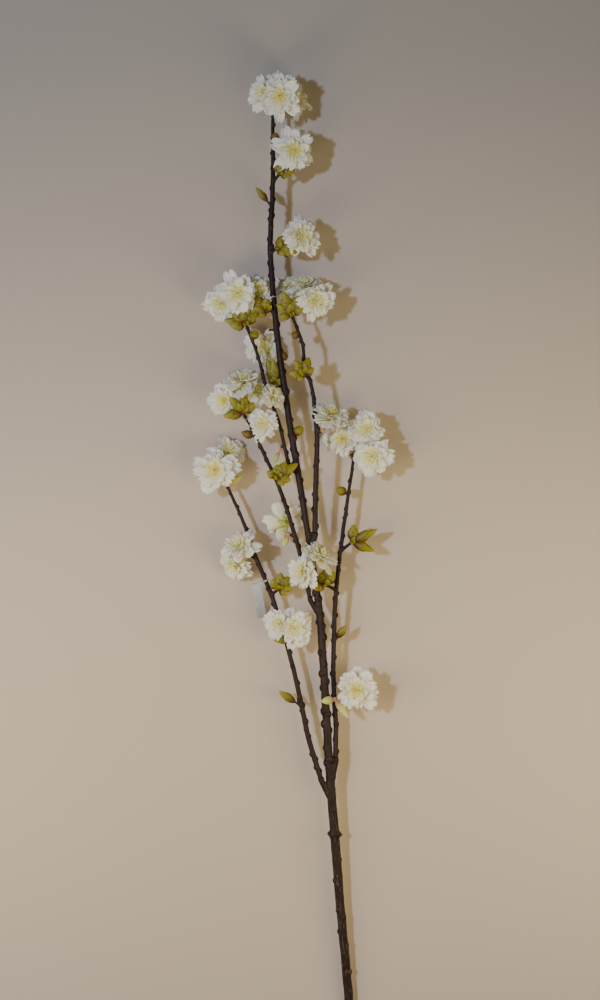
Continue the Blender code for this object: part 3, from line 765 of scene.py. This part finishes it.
# %% Moulded bud materials
def moulded_material(name, foot, middle, tip, roughness):
    """Moulded polyethylene with a sprayed foot that fades along the bud."""
    made, tree, shader = new_material(name)
    place = add(tree, "TexCoord").outputs["Object"]
    uv = add(tree, "UVMap", uv_map="UVMap").outputs["UV"]
    along = add(tree, "SeparateXYZ", {0: uv}).outputs["Y"]
    mottle = add(tree, "TexNoise", {"Vector": place, "Scale": 420, "Detail": 3}).outputs["Fac"]
    uneven = add(tree, "Math", {0: mottle, 1: 0.3, 2: along}, operation="MULTIPLY_ADD").outputs[0]
    spray = add(tree, "MapRange", {0: uneven, "From Min": 0.3, "From Max": 0.66}).outputs[0]
    colour = blend_colours(tree, spray, foot, middle)
    end = add(tree, "MapRange", {0: uneven, "From Min": 0.8, "From Max": 1.15}).outputs[0]
    colour = blend_colours(tree, end, colour, tip)
    lines = add(tree, "Mapping", {"Vector": uv, "Scale": (9, 0.8, 1)}).outputs[0]
    veins = add(tree, "TexNoise", {"Vector": lines, "Scale": 2, "Detail": 2}).outputs["Fac"]
    bump = add(tree, "Bump", {"Height": veins, "Strength": 0.5, "Distance": 0.0005})
    tree.links.new(colour, shader.inputs["Base Color"])
    tree.links.new(bump.outputs[0], shader.inputs["Normal"])
    shader.inputs["Roughness"].default_value = roughness
    shader.inputs["Specular IOR Level"].default_value = 0.35
    return made


LOOKS = {
    "olive": moulded_material("olive_polyethylene", "#4c2c0e", "#767010", "#8a8418", 0.45),
    "brown": moulded_material("brown_polyethylene", "#41230f", "#6b4f1a", "#7c6a20", 0.45),
    "pale": moulded_material("yellow_green_polyethylene", "#a8806a", "#b3bb62", "#c4cb80", 0.5),
}
LOOKS["knot"] = LOOKS["brown"]

# %% Single buds on the stems
# Where a bud starts, as a share of its reach, its width and its fullness. The long ones are slender
# leaf buds, the short ones are plump, and a pale one is thin, on a pink stalk of its own.
SLENDER, PLUMP, THIN = (0.3, 6.4, 0.6), (0.2, 8.4, 0.85), (0.45, 4.8, 0.7)
SLENDER_FROM = 18
PINK_STALK_RADIUS = 0.8


def add_pink_stalk(bm, start, end):
    """A thin bar in the colour of a pale bud's foot."""
    uv = uv_map(bm)
    made = swept_bar(bm, [start, start.lerp(end, 0.5), end], [PINK_STALK_RADIUS] * 3, 8)
    for face in {face for vert in made for face in vert.link_faces}:
        for loop in face.loops:
            loop[uv].uv = (0.5, 0)


for number, (stem_name, along, reach, look) in enumerate(BUDS, 1):
    if look == "knot":
        continue
    rng = random.Random(100 + number)
    centre, reach = on_route(ROUTES[stem_name], along)[0], Vector(reach)
    form = THIN if look == "pale" else SLENDER if reach.length > SLENDER_FROM else PLUMP
    share, width, fullness = form
    bm = bmesh.new()
    start = centre + reach * share
    if look == "pale":
        add_pink_stalk(bm, centre + reach * (STALK_SHARES["pale"] * 0.8), start + reach * 0.05)
    add_bud(bm, start, centre + reach, width, fullness, rng, sheathed=form == SLENDER)
    file_piece(f"stem_bud_{number:02}", bm, LOOKS[look])
print("single buds on the stems:", sum(look != "knot" for *_, look in BUDS))

# %% Bud scales of the picks
SHOWY_SCALES = 1.05
PALE_SLIMNESS = 0.8
INNER_SCALES = 3
INNER_WIDTH = 4.6


for number, (_, _, knuckle, look, tips, blossoms) in enumerate(PICKS, 1):
    rng = random.Random(200 + number)
    centre = Vector(knuckle)
    bm = bmesh.new()
    bmesh.ops.create_uvsphere(
        bm, u_segments=14, v_segments=10, radius=KNUCKLE_RADIUS,
        matrix=Matrix.Translation(centre), calc_uvs=False,
    )
    uv_map(bm)
    slim = PALE_SLIMNESS if look == "pale" else 1
    for tip in tips:
        reach = Vector(tip)
        base = centre + reach.normalized() * (KNUCKLE_RADIUS * 0.5)
        end = centre + reach * (SHOWY_SCALES if blossoms and look == "olive" else 1)
        width = scale_width((end - base).length) * slim
        add_bud(bm, base, end, width, SCALE_FULLNESS, rng, sheathed=look != "pale")
    for k in range(INNER_SCALES if look == "olive" else 0):
        around = rng.uniform(0, 2 * math.pi)
        inner = Vector((math.cos(around) * 4, math.sin(around) * 4 + 3, 5)) * rng.uniform(0.9, 1.2)
        add_bud(bm, centre, centre + inner, INNER_WIDTH, SCALE_FULLNESS, rng)
    file_piece(f"pick_{number:02}_scales", bm, LOOKS[look], [f"pick_{number:02}"])
print("picks:", len(PICKS))

# %% [markdown]
# ## Stalks and calyxes
#
# Each blossom hangs on a thin pink stalk that widens into a green cup with five pointed sepals pressed
# against the petals. Stalk and cup are one bar whose radius swells; each sepal is a grid drawn to a point
# and bent outwards.

# %% Stalk, cup and sepals
STALK_RADIUS = 0.8
CUP_RADIUS = 3.2
CUP_DEPTH = 6
BACK_SHARE = 0.5
SEPALS = 5
SEPAL_LENGTH = 5.5


def facing_frame(middle, facing, turned=0.0):
    """A frame at middle whose +Z is the way a blossom faces."""
    turn = Vector(facing).to_track_quat("Z", "Y").to_matrix().to_4x4()
    return Matrix.Translation(middle) @ turn @ Matrix.Rotation(turned, 4, "Z")


def add_stalk(bm, knuckle, middle, radius, facing):
    """A bowed stalk that swells into its cup. The UV map runs from the knuckle (0) to the cup (1)."""
    facing = Vector(facing).normalized()
    mouth = middle - facing * (radius * BACK_SHARE)
    cup_base = mouth - facing * CUP_DEPTH
    bow = (cup_base - knuckle).length * 0.35
    centres, radii = [], []
    for k in range(9):
        t = k / 9
        centres.append(knuckle.lerp(cup_base, t) - facing * (bow * t * (1 - t)))
        radii.append(STALK_RADIUS * (1.25 - 0.25 * min(1, 4 * t)))
    for share in (0, 0.25, 0.5, 0.75, 1):
        centres.append(cup_base.lerp(mouth, share))
        radii.append(STALK_RADIUS * 1.25 + (CUP_RADIUS - STALK_RADIUS * 1.25) * math.sin(share * math.pi / 2))
    uv = uv_map(bm)
    made = swept_bar(bm, centres, radii, 10)
    whole = (mouth - knuckle).length
    for face in {face for vert in made for face in vert.link_faces}:
        for loop in face.loops:
            near = min(1, (loop.vert.co - mouth).length / whole)
            loop[uv].uv = (0.5, 1 - near)


def add_sepals(bm, middle, radius, facing, rng):
    """Five pointed sepals round the mouth of the cup, laid back against the petals."""
    uv = uv_map(bm)
    facing = Vector(facing).normalized()
    place = facing_frame(middle - facing * (radius * BACK_SHARE + 0.6), facing, rng.uniform(0, 1))
    for k in range(SEPALS):
        sheet = bmesh.ops.create_grid(bm, x_segments=4, y_segments=6, size=1)["verts"]
        angle = 2 * math.pi * k / SEPALS + rng.uniform(-0.12, 0.12)
        for vert in sheet:
            across, along = vert.co.x, (vert.co.y + 1) / 2
            half = 1.9 * (1 - along) ** 0.7 * (0.75 + 0.9 * along)
            out = CUP_RADIUS * 0.7 + SEPAL_LENGTH * along * 0.92
            up = 0.2 + 0.25 * SEPAL_LENGTH * along ** 2 - 0.5 * (1 - across * across) * (1 - along)
            vert.co = Vector((out, across * half, up))
        faces = {face for vert in sheet for face in vert.link_faces}
        for face in faces:
            for loop in face.loops:
                loop[uv].uv = (0.5, 0.75 + 0.25 * (loop.vert.co.x - CUP_RADIUS) / SEPAL_LENGTH)
        walled = bmesh.ops.solidify(bm, geom=list(faces), thickness=0.3)["geom"]
        every = set(sheet) | {part for part in walled if isinstance(part, bmesh.types.BMVert)}
        bmesh.ops.transform(bm, matrix=place @ Matrix.Rotation(angle, 4, "Z"), verts=list(every))


stalk_look = moulded_material("pink_and_green_polyethylene", "#b3705c", "#a6a64e", "#a9b65c", 0.5)
for number, (_, _, knuckle, _, _, blossoms) in enumerate(PICKS, 1):
    if not blossoms:
        continue
    rng = random.Random(300 + number)
    bm = bmesh.new()
    for middle, radius, facing in blossoms:
        add_stalk(bm, Vector(knuckle), Vector(middle), radius, facing)
        add_sepals(bm, Vector(middle), radius, facing, rng)
    file_piece(f"pick_{number:02}_stalks", bm, stalk_look)
print("picks with stalks:", sum(bool(pick[5]) for pick in PICKS))

# %% [markdown]
# ## Blossoms
#
# A cloth double blossom is a stack: whorls of petals die-cut from starched polyester, each heat-pressed
# into a shallow spoon, threaded on a stem and glued. The outer whorls lie nearly flat, the inner ones
# stand up round the heart. Each petal here is a grid: its rows follow an arc that starts steep and leans
# out, its width swells and rounds off, its tip has the cherry's notch, and its edge is frayed a little.
#
# Petals of crowded blossoms press against each other, against the stems and on the table. A simulation
# of 1200 sheets would take too long, so each point that would pass the plane halfway to a neighbour is
# eased back in front of it, as cloth that is leaned on.

# %% What the petals must keep clear of
stem_samples = []
for route in ROUTES.values():
    y = route[0][1]
    while y <= route[-1][1]:
        stem_samples.append(on_route(route, y))
        y += 1.5
stem_tree = kdtree.KDTree(len(stem_samples))
for index, (centre, _) in enumerate(stem_samples):
    stem_tree.insert(centre, index)
stem_tree.balance()
STEM_CLEARANCE = 0.9
EASE = 3.0
TABLE_EASE = 2.0


def eased(depth, ease):
    """A distance past a wall, brought back in front of it: 0 far past, unchanged far in front."""
    return depth if depth < -ease else -ease * math.exp(-(depth + ease) / ease)


def walls_round(index):
    """The planes halfway to the blossoms that crowd this one: a point on each, and its outward way."""
    middle, radius, _ = BLOSSOMS[index]
    walls = []
    for other, (other_middle, other_radius, _) in enumerate(BLOSSOMS):
        away = Vector(other_middle) - Vector(middle)
        if other == index or away.length > (radius + other_radius) * 1.12:
            continue
        share = 0.5 + (radius - other_radius) / (2 * away.length)
        walls.append((Vector(middle) + away * share, away.normalized()))
    return walls


def kept_clear(point, walls):
    """The point, eased back from neighbours, stems and table."""
    for wall, outward in walls:
        depth = (point - wall).dot(outward)
        point = point + outward * (eased(depth, EASE) - depth)
    nearest, index, distance = stem_tree.find(point)
    room = stem_samples[index][1] + STEM_CLEARANCE
    if distance < room:
        point = nearest + (point - nearest).normalized() * room
    if point.z < TABLE_EASE:
        point = Vector((point.x, point.y, 0.25 + TABLE_EASE * math.exp((point.z - TABLE_EASE) / TABLE_EASE) * 0.92))
    return point


# %% One petal
PETAL_COLUMNS = 8
PETAL_ROWS = 8
CLOTH = 0.22


def petal_arc(length, lean_from, lean_to, along):
    """How far out and how far up a petal is, part of the way along an arc that leans over."""
    out = up = 0.0
    steps = 10
    for k in range(steps):
        t = along * (k + 0.5) / steps
        lean = lean_from + (lean_to - lean_from) * t
        out += math.sin(lean) * length * along / steps
        up += math.cos(lean) * length * along / steps
    return out, up, lean_from + (lean_to - lean_from) * along


def add_petal(bm, place, lift, length, width, lean_from, lean_to, rng, ruffle):
    """One spoon-shaped petal with a notched, frayed tip. Returns its points."""
    uv = uv_map(bm)
    sheet = bmesh.ops.create_grid(bm, x_segments=PETAL_COLUMNS, y_segments=PETAL_ROWS, size=1)["verts"]
    spoon = rng.uniform(0.08, 0.26) * width
    phase, waves = rng.uniform(0, 6.28), rng.uniform(2.2, 3.6)
    twist = rng.uniform(-0.16, 0.16)
    notch = rng.uniform(0.06, 0.2)
    fray = [rng.uniform(-0.045, 0.03) for _ in range(PETAL_COLUMNS + 1)]
    drawn = {}
    for vert in sheet:
        across, along = vert.co.x, (vert.co.y + 1) / 2
        drawn[vert] = (across, along)
        column = round((across + 1) / 2 * PETAL_COLUMNS)
        reach = 1 - notch * math.exp(-((across / 0.26) ** 2)) - 0.09 * across ** 2
        reach += fray[column] * along
        swell = 0.26 + 0.74 * math.sin(math.pi / 2 * min(1, along / 0.7))
        rounded = math.sqrt(1 - 0.56 * max(0, (along - 0.7) / 0.3) ** 2.6)
        half = width / 2 * swell * rounded
        out, up, lean = petal_arc(length, lean_from, lean_to, along * reach)
        dish = spoon * (across * across - 0.25) * math.sin(math.pi * min(1, along * 0.75 + 0.1))
        wave = ruffle * along * along * abs(across) * math.sin(waves * across * 2 + phase + along * 2)
        off = dish + wave + twist * across * half * along
        vert.co = Vector((out - math.cos(lean) * off, across * half, lift + up + math.sin(lean) * off))
    faces = {face for vert in sheet for face in vert.link_faces}
    for face in faces:
        for loop in face.loops:
            across, along = drawn[loop.vert]
            loop[uv].uv = ((across + 1) / 2, along)
    bmesh.ops.transform(bm, matrix=place, verts=sheet)
    return sheet


# %% [markdown]
# Five whorls make the blossom, listed from the outside in: how many petals, their length and width as
# shares of the blossom's radius, how steeply they start and end, how high on the core they are threaded,
# and how much their edges ruffle.

# %% Whorls
WHORLS = [
    (7, 1.30, 0.64, 78, 100, 0.00, 1.3),
    (7, 1.20, 0.56, 62, 90, 0.08, 1.4),
    (7, 0.98, 0.50, 50, 80, 0.14, 1.5),
    (6, 0.72, 0.42, 44, 74, 0.20, 1.3),
    (5, 0.46, 0.28, 44, 70, 0.24, 0.9),
]
HEART_DROP = 0.46


def build_blossom(index):
    """All the petals of one blossom, as one piece of thin cloth."""
    middle, radius, facing = BLOSSOMS[index]
    rng = random.Random(400 + index)
    walls = walls_round(index)
    bm = bmesh.new()
    heart_share = bm.verts.layers.float.new("from_heart")
    spin = rng.uniform(0, 2 * math.pi)
    for whorl, (count, long, wide, start, end, lift, ruffle) in enumerate(WHORLS):
        for k in range(count):
            angle = spin + 2 * math.pi * (k + 0.5 * whorl) / count + rng.uniform(-0.28, 0.28)
            place = facing_frame(Vector(middle), facing, angle)
            heart = (lift - HEART_DROP) * radius
            sheet = add_petal(
                bm, place, heart,
                radius * long * rng.uniform(0.78, 1.08), radius * wide * rng.uniform(0.82, 1.14),
                math.radians(start + rng.uniform(-11, 11)), math.radians(end + rng.uniform(-18, 18)),
                rng, ruffle,
            )
            for vert in sheet:
                from_axis = place.inverted() @ vert.co
                vert[heart_share] = from_axis.xy.length / radius
                vert.co = kept_clear(vert.co, walls)
    piece = file_piece(
        f"blossom_{index + 1:02}_petals", bm, petal_cloth, [f"blossom_{index + 1:02}"]
    )
    wall = piece.modifiers.new("cloth", "SOLIDIFY")
    wall.thickness = CLOTH * MM
    wall.offset = 0
    return with_modifiers(piece)


# %% [markdown]
# The cloth is a fine starched polyester, creamy white, dyed yellow-green towards the heart before it is
# cut. Light passes through it, so a shadow side glows: a Translucent shader is mixed in. The weave has a
# thread every 0.2 mm, too fine to show, so it is drawn at 0.6 mm, and the veins are heat-pressed ribs
# that run along the petal, which is why they follow the UV map.

# %% Petal cloth
def petal_material():
    """Starched polyester cloth, cream white with a yellow-green heart and pressed veins."""
    made, tree, shader = new_material("starched_polyester_petal")
    uv = add(tree, "UVMap", uv_map="UVMap").outputs["UV"]
    place = add(tree, "TexCoord").outputs["Object"]
    away = add(tree, "Attribute", attribute_name="from_heart").outputs["Fac"]
    cloud = add(tree, "TexNoise", {"Vector": place, "Scale": 90, "Detail": 2}).outputs["Fac"]
    drift = add(tree, "Math", {0: cloud, 1: 0.25, 2: away}, operation="MULTIPLY_ADD").outputs[0]
    tint = add(tree, "MapRange", {0: drift, "From Min": 1.0, "From Max": 0.45}).outputs[0]
    colour = blend_colours(tree, tint, "#faf9f5", "#f8f6e0")
    dye = add(tree, "MapRange", {0: drift, "From Min": 0.66, "From Max": 0.26}).outputs[0]
    colour = blend_colours(tree, dye, colour, "#faf6a6")
    ribs = add(tree, "Mapping", {"Vector": uv, "Scale": (11, 0.7, 1)}).outputs[0]
    veins = add(tree, "TexNoise", {"Vector": ribs, "Scale": 1.5, "Detail": 2}).outputs["Fac"]
    weave = add(tree, "TexVoronoi", {"Vector": place, "Scale": 1600}).outputs["Distance"]
    relief = add(tree, "Math", {0: weave, 1: 0.25, 2: veins}, operation="MULTIPLY_ADD").outputs[0]
    bump = add(tree, "Bump", {"Height": relief, "Strength": 0.55, "Distance": 0.0006})
    tree.links.new(colour, shader.inputs["Base Color"])
    tree.links.new(bump.outputs[0], shader.inputs["Normal"])
    shader.inputs["Roughness"].default_value = 0.8
    shader.inputs["Sheen Weight"].default_value = 0.25
    glow = add(tree, "BsdfTranslucent", {"Color": colour, "Normal": bump.outputs[0]})
    both = add(tree, "MixShader", {0: 0.45, 1: shader.outputs[0], 2: glow.outputs[0]})
    tree.links.new(both.outputs[0], tree.nodes["Material Output"].inputs["Surface"])
    return made


petal_cloth = petal_material()
for index in range(len(BLOSSOMS)):
    piece = build_blossom(index)
print("last blossom:", piece.name, len(piece.data.polygons), "faces")

# %% [markdown]
# ## Stamens
#
# In the heart of each blossom stands a tuft of waxed thread tipped with yellow grains. There are a few
# hundred of them in all, so each is only a tapered four-sided thread and a twenty-faced grain.

# %% Stamen tufts
STAMENS = 16
STRONG_HEARTS = {1, 4, 15, 18, 20, 23, 31}


def stamen_material(name, thread, grains):
    """Waxed thread and pollen grains, a little glossy."""
    made, tree, shader = new_material(name)
    place = add(tree, "TexCoord").outputs["Object"]
    grain = add(tree, "TexNoise", {"Vector": place, "Scale": 900, "Detail": 2}).outputs["Fac"]
    bump = add(tree, "Bump", {"Height": grain, "Strength": 0.4, "Distance": 0.0003})
    tree.links.new(blend_colours(tree, grain, thread, grains), shader.inputs["Base Color"])
    tree.links.new(bump.outputs[0], shader.inputs["Normal"])
    shader.inputs["Roughness"].default_value = 0.55
    return made


pale_wax = stamen_material("waxed_pale_stamen", "#efeaa4", "#faf7d2")
strong_wax = stamen_material("waxed_yellow_stamen", "#f3de4c", "#fbf08c")


def build_stamens(index):
    """The tuft of one blossom."""
    middle, radius, facing = BLOSSOMS[index]
    rng = random.Random(500 + index)
    walls = walls_round(index)
    bm = bmesh.new()
    place = facing_frame(Vector(middle), facing)
    for k in range(STAMENS):
        angle = k * 2.4 + rng.uniform(-0.2, 0.2)
        spread = math.radians(6 + 30 * math.sqrt(k / STAMENS))
        length = radius * rng.uniform(0.3, 0.42)
        root = Vector((0, 0, (0.3 - HEART_DROP) * radius))
        way = Vector((math.sin(spread) * math.cos(angle), math.sin(spread) * math.sin(angle), math.cos(spread)))
        turn = way.to_track_quat("Z", "Y").to_matrix().to_4x4()
        thread = bmesh.ops.create_cone(
            bm, cap_ends=True, segments=4, radius1=0.22, radius2=0.16, depth=length,
            matrix=place @ Matrix.Translation(root + way * (length / 2)) @ turn,
        )["verts"]
        grain = bmesh.ops.create_icosphere(
            bm, subdivisions=1, radius=0.62,
            matrix=place @ Matrix.Translation(root + way * length) @ turn @ Matrix.Diagonal((1, 0.75, 1.2, 1)),
        )["verts"]
        for vert in thread + grain:
            vert.co = kept_clear(vert.co, walls)
    wax = strong_wax if index + 1 in STRONG_HEARTS else pale_wax
    return file_piece(f"blossom_{index + 1:02}_stamens", bm, wax)


for index in range(len(BLOSSOMS)):
    build_stamens(index)
print("stamens:", STAMENS * len(BLOSSOMS))

# %% [markdown]
# ## The blank label
#
# One branch carries a tag of frosted film with nothing on it. It is cut in one piece: a narrow neck,
# wound once round the branch and stuck to itself, and a wide tail that leans down to the table. It is
# one grid, laid row by row along its path and as wide there as the film is cut, so its flat length and
# its area are known.

# %% Label film
LABEL_LOOP_AT = 499
LABEL_TOP = Vector((-43.6, 496.5, 25))
LABEL_FOOT = Vector((-38.2, 461, 1.4))
LABEL_WIDTH = 10
LABEL_NECK = 1.6
LABEL_SLACK = 0.7
LABEL_THICKNESS = 0.25
LOOP_ROWS, SHOULDER_ROWS, TAIL_ROWS = 24, 5, 16


def film_material():
    """Frosted polypropylene film: pale blue-grey, half see-through, scuffed along its length."""
    made, tree, shader = new_material("frosted_polypropylene_film")
    place = add(tree, "TexCoord").outputs["Object"]
    drawn_out = add(tree, "Mapping", {"Vector": place, "Scale": (1, 0.15, 1)}).outputs[0]
    scuffs = add(tree, "TexNoise", {"Vector": drawn_out, "Scale": 420, "Detail": 3}).outputs["Fac"]
    bump = add(tree, "Bump", {"Height": scuffs, "Strength": 0.4, "Distance": 0.0003})
    tree.links.new(blend_colours(tree, scuffs, "#a3abb6", "#cdd2d8"), shader.inputs["Base Color"])
    tree.links.new(bump.outputs[0], shader.inputs["Normal"])
    shader.inputs["Roughness"].default_value = 0.4
    shader.inputs["Alpha"].default_value = 0.6
    return made


def label_rows():
    """Middle, sideways direction and half width of each row: round the branch, then down the tail."""
    route = ROUTES["side_branch_lower_left"]
    centre, radius = on_route(route, LABEL_LOOP_AT)
    along = direction_at(route, LABEL_LOOP_AT)
    side = along.cross(Vector((0, 0, 1))).normalized()
    top = side.cross(along).normalized()
    rows = []
    for k in range(LOOP_ROWS + 1):
        share = k / LOOP_ROWS
        angle = math.radians(20 + 340 * share)
        room = radius + LABEL_SLACK + LABEL_THICKNESS * 1.5 * share
        rows.append((centre + (top * math.sin(angle) - side * math.cos(angle)) * room, along, LABEL_NECK / 2))
    neck_end = rows[-1][0]
    down = LABEL_FOOT - LABEL_TOP
    across = Vector((0, 0, 1)).cross(down).normalized()
    for k in range(1, SHOULDER_ROWS + 1):
        share = k / SHOULDER_ROWS
        widening = LABEL_NECK + (LABEL_WIDTH - LABEL_NECK) * math.sin(share * math.pi / 2)
        turned = along.lerp(across, share).normalized()
        rows.append((neck_end.lerp(LABEL_TOP, share), turned, widening / 2))
    for k in range(1, TAIL_ROWS + 1):
        share = k / TAIL_ROWS
        bow = Vector((0, 0, 2.2 * math.sin(math.pi * share) + 0.5 * math.sin(9 * share)))
        rows.append((LABEL_TOP + down * share + bow, across, LABEL_WIDTH / 2))
    return rows


def build_label():
    rng = random.Random(600)
    rows = label_rows()
    bm = bmesh.new()
    last = len(rows) - 1
    sheet = bmesh.ops.create_grid(bm, x_segments=6, y_segments=last, size=1)["verts"]
    for vert in sheet:
        row = round((vert.co.y + 1) / 2 * last)
        middle, across, half = rows[row]
        curl = Vector((0, 0, 0.12 * half * vert.co.x ** 2))
        torn = Vector((0, rng.uniform(-0.5, 0.5), 0)) if row == last else Vector()
        vert.co = middle + across * (vert.co.x * half) + curl + torn
    area = sum(face.calc_area() for face in bm.faces)
    bmesh.ops.solidify(bm, geom=list(bm.faces), thickness=LABEL_THICKNESS)
    piece = file_piece("label_film", bm, film_material(), ["label_strip"])
    long = sum((b[0] - a[0]).length for a, b in zip(rows, rows[1:]))
    return long


print("label film:", round(build_label()), "mm long,", LABEL_WIDTH, "mm wide")
